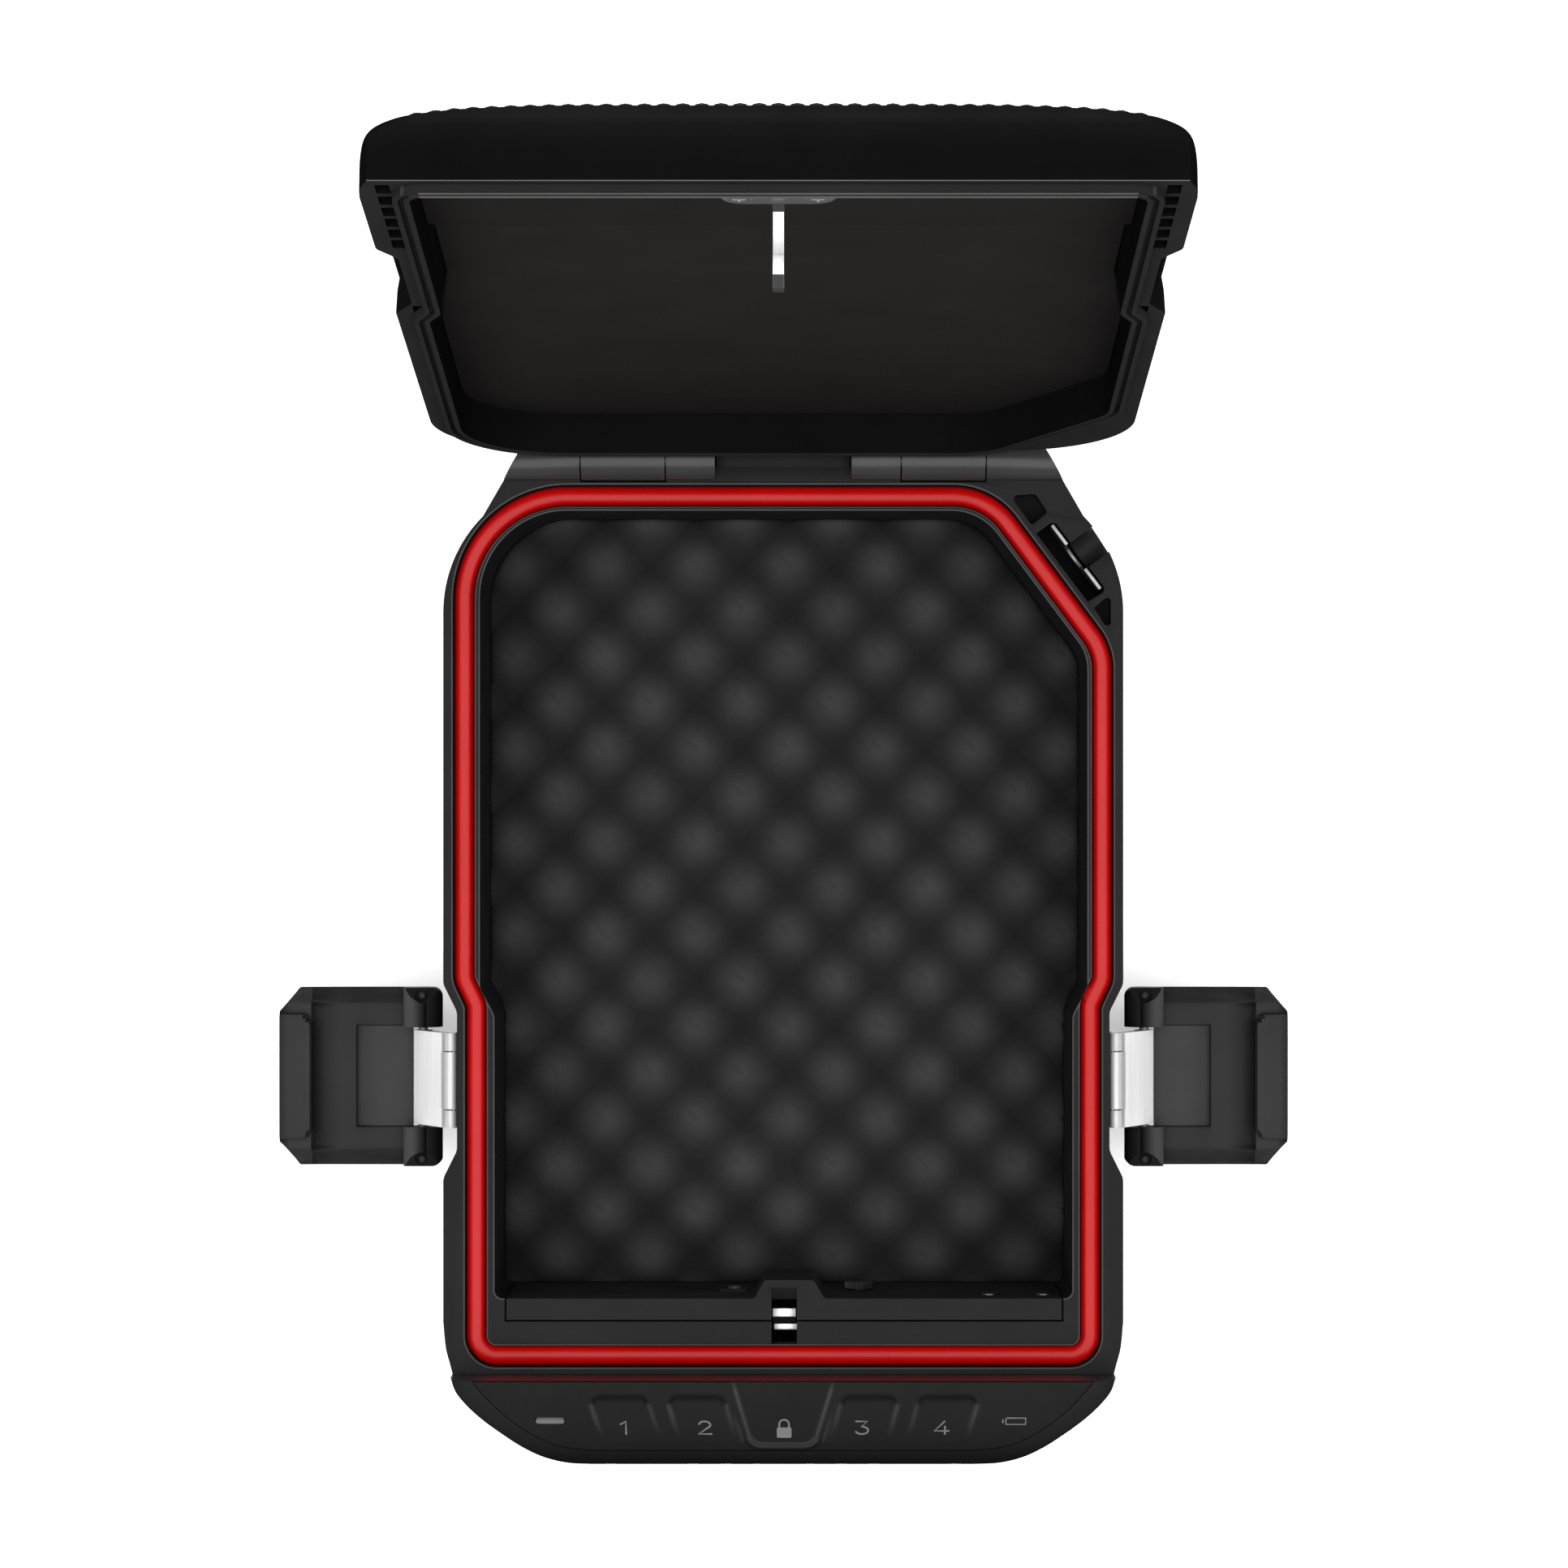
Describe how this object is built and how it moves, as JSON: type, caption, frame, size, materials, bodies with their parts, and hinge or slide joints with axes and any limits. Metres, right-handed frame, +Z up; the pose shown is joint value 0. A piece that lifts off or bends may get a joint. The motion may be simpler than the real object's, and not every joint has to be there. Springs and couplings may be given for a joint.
{
  "type": "portable lock box",
  "caption": "Black hard-shell lock box with hinged lid, side draw latches, red rim seal, egg-crate foam, keypad nose and cable anchor, shown open.",
  "frame": {"origin": "centre of the rubber pad under the base, on the surface the box stands on", "axes": "+Z up, +Y from the keypad nose towards the lid hinge, +X to the right seen from the keypad"},
  "size_m": [0.2462, 0.2967, 0.2596],
  "materials": {
    "shell_black": "moulded, fine texture",
    "liner_black": "moulded, smooth",
    "grip_black": "ribbed rubber grip",
    "lever_black": "moulded, satin",
    "panel_black": "satin",
    "key_black": "soft touch with light grey print",
    "seal_red": "smooth silicone",
    "foam_grey": "open cell foam, egg-crate face",
    "pad_rubber": "matt",
    "steel": "bright",
    "steel_grey": "dull",
    "chrome": "polished",
    "lens": "smoked lens",
    "light_window": "translucent window, unlit",
    "board": "solder mask",
    "cell_jacket": "plain jacket"
  },
  "bodies": {
    "base": {"base_shell": "shell_black", "base_pad": "pad_rubber", "foam_pad": "foam_grey", "rim_seal": "seal_red", "deck_cover": "shell_black", "cavity_light_lens": "lens", "lid_sensor_lens": "lens", "keypad_panel": "panel_black", "status_light": "light_window", "circuit_board": "board", "lock_frame": "steel_grey", "lock_motor": "steel_grey", "anchor_plate": "steel_grey", "hinge_pin_left": "steel_grey", "hinge_pin_right": "steel_grey", "battery_cell_1": "cell_jacket", "battery_cell_2": "cell_jacket", "battery_cell_3": "cell_jacket", "battery_cell_4": "cell_jacket", "latch_bracket_left": "steel", "latch_pin_left": "steel_grey", "latch_bracket_right": "steel", "latch_pin_right": "steel_grey"},
    "lid": {"lid_shell": "shell_black", "lid_grip_panel": "grip_black", "lid_liner": "liner_black", "strike_hook": "steel", "hook_screw_left": "chrome", "hook_screw_right": "chrome"},
    "bolt": {"lock_bolt": "steel"},
    "pinion": {"drive_pinion": "steel_grey"},
    "program": {"program_button": "panel_black"},
    "thumb": {"thumb_screw": "panel_black"},
    "keycap_1": {"key_1": "key_black"},
    "keycap_2": {"key_2": "key_black"},
    "keycap_3": {"key_3": "key_black"},
    "keycap_4": {"key_4": "key_black"},
    "keycap_lock": {"key_lock": "key_black"},
    "link_left": {"latch_link_left": "steel", "lever_pin_left": "steel_grey"},
    "lever_left": {"latch_lever_left": "lever_black", "lever_screw_left_front": "chrome", "lever_screw_left_rear": "chrome"},
    "link_right": {"latch_link_right": "steel", "lever_pin_right": "steel_grey"},
    "lever_right": {"latch_lever_right": "lever_black", "lever_screw_right_front": "chrome", "lever_screw_right_rear": "chrome"}
  },
  "joints": [
    {"name": "lid_hinge", "type": "hinge", "parent": "base", "child": "lid", "pos_m": [0, 0.1176, 0.04415], "axis": [1, 0, 0], "range_deg": [0, 100]},
    {"name": "latch_link_left", "type": "hinge", "parent": "base", "child": "link_left", "pos_m": [-0.0802, -0.0316, 0.042], "axis": [0, -1, 0], "range_deg": [0, 27.16]},
    {"name": "latch_lever_left", "type": "hinge", "parent": "link_left", "child": "lever_left", "pos_m": [-0.088, -0.0316, 0.0268], "axis": [0, 1, 0], "range_deg": [0, 117.17]},
    {"name": "latch_link_right", "type": "hinge", "parent": "base", "child": "link_right", "pos_m": [0.0802, -0.0316, 0.042], "axis": [0, 1, 0], "range_deg": [0, 27.16]},
    {"name": "latch_lever_right", "type": "hinge", "parent": "link_right", "child": "lever_right", "pos_m": [0.088, -0.0316, 0.0268], "axis": [0, -1, 0], "range_deg": [0, 117.17]},
    {"name": "key_1_press", "type": "slide", "parent": "base", "child": "keycap_1", "axis": [0, 0.6428, -0.766], "range_m": [0, 0.0008], "stiffness_N_per_m": 600, "springref_m": -0.0006},
    {"name": "key_2_press", "type": "slide", "parent": "base", "child": "keycap_2", "axis": [0, 0.6428, -0.766], "range_m": [0, 0.0008], "stiffness_N_per_m": 600, "springref_m": -0.0006},
    {"name": "key_3_press", "type": "slide", "parent": "base", "child": "keycap_3", "axis": [0, 0.6428, -0.766], "range_m": [0, 0.0008], "stiffness_N_per_m": 600, "springref_m": -0.0006},
    {"name": "key_4_press", "type": "slide", "parent": "base", "child": "keycap_4", "axis": [0, 0.6428, -0.766], "range_m": [0, 0.0008], "stiffness_N_per_m": 600, "springref_m": -0.0006},
    {"name": "key_lock_press", "type": "slide", "parent": "base", "child": "keycap_lock", "axis": [0, 0.6428, -0.766], "range_m": [0, 0.0008], "stiffness_N_per_m": 600, "springref_m": -0.0006},
    {"name": "bolt_slide", "type": "slide", "parent": "base", "child": "bolt", "axis": [0, 1, 0], "range_m": [0, 0.0029]},
    {"name": "pinion_turn", "type": "hinge", "parent": "base", "child": "pinion", "pos_m": [0.013, -0.098, 0.0367], "axis": [0, 0, -1], "range_deg": [0, 50.5]},
    {"name": "program_press", "type": "slide", "parent": "base", "child": "program", "axis": [0, -1, 0], "range_m": [0, 0.0008], "stiffness_N_per_m": 500, "springref_m": -0.0005},
    {"name": "thumb_turn", "type": "hinge", "parent": "base", "child": "thumb", "pos_m": [0.01835, -0.0827, 0.0246], "axis": [0, 1, 0], "continuous": true}
  ],
  "couplings": [
    {"joint": "latch_lever_left", "follows": "latch_link_left", "ratio": 4.3129},
    {"joint": "latch_lever_right", "follows": "latch_link_right", "ratio": 4.3129},
    {"joint": "pinion_turn", "follows": "bolt_slide", "rad_per_m": 303}
  ]
}
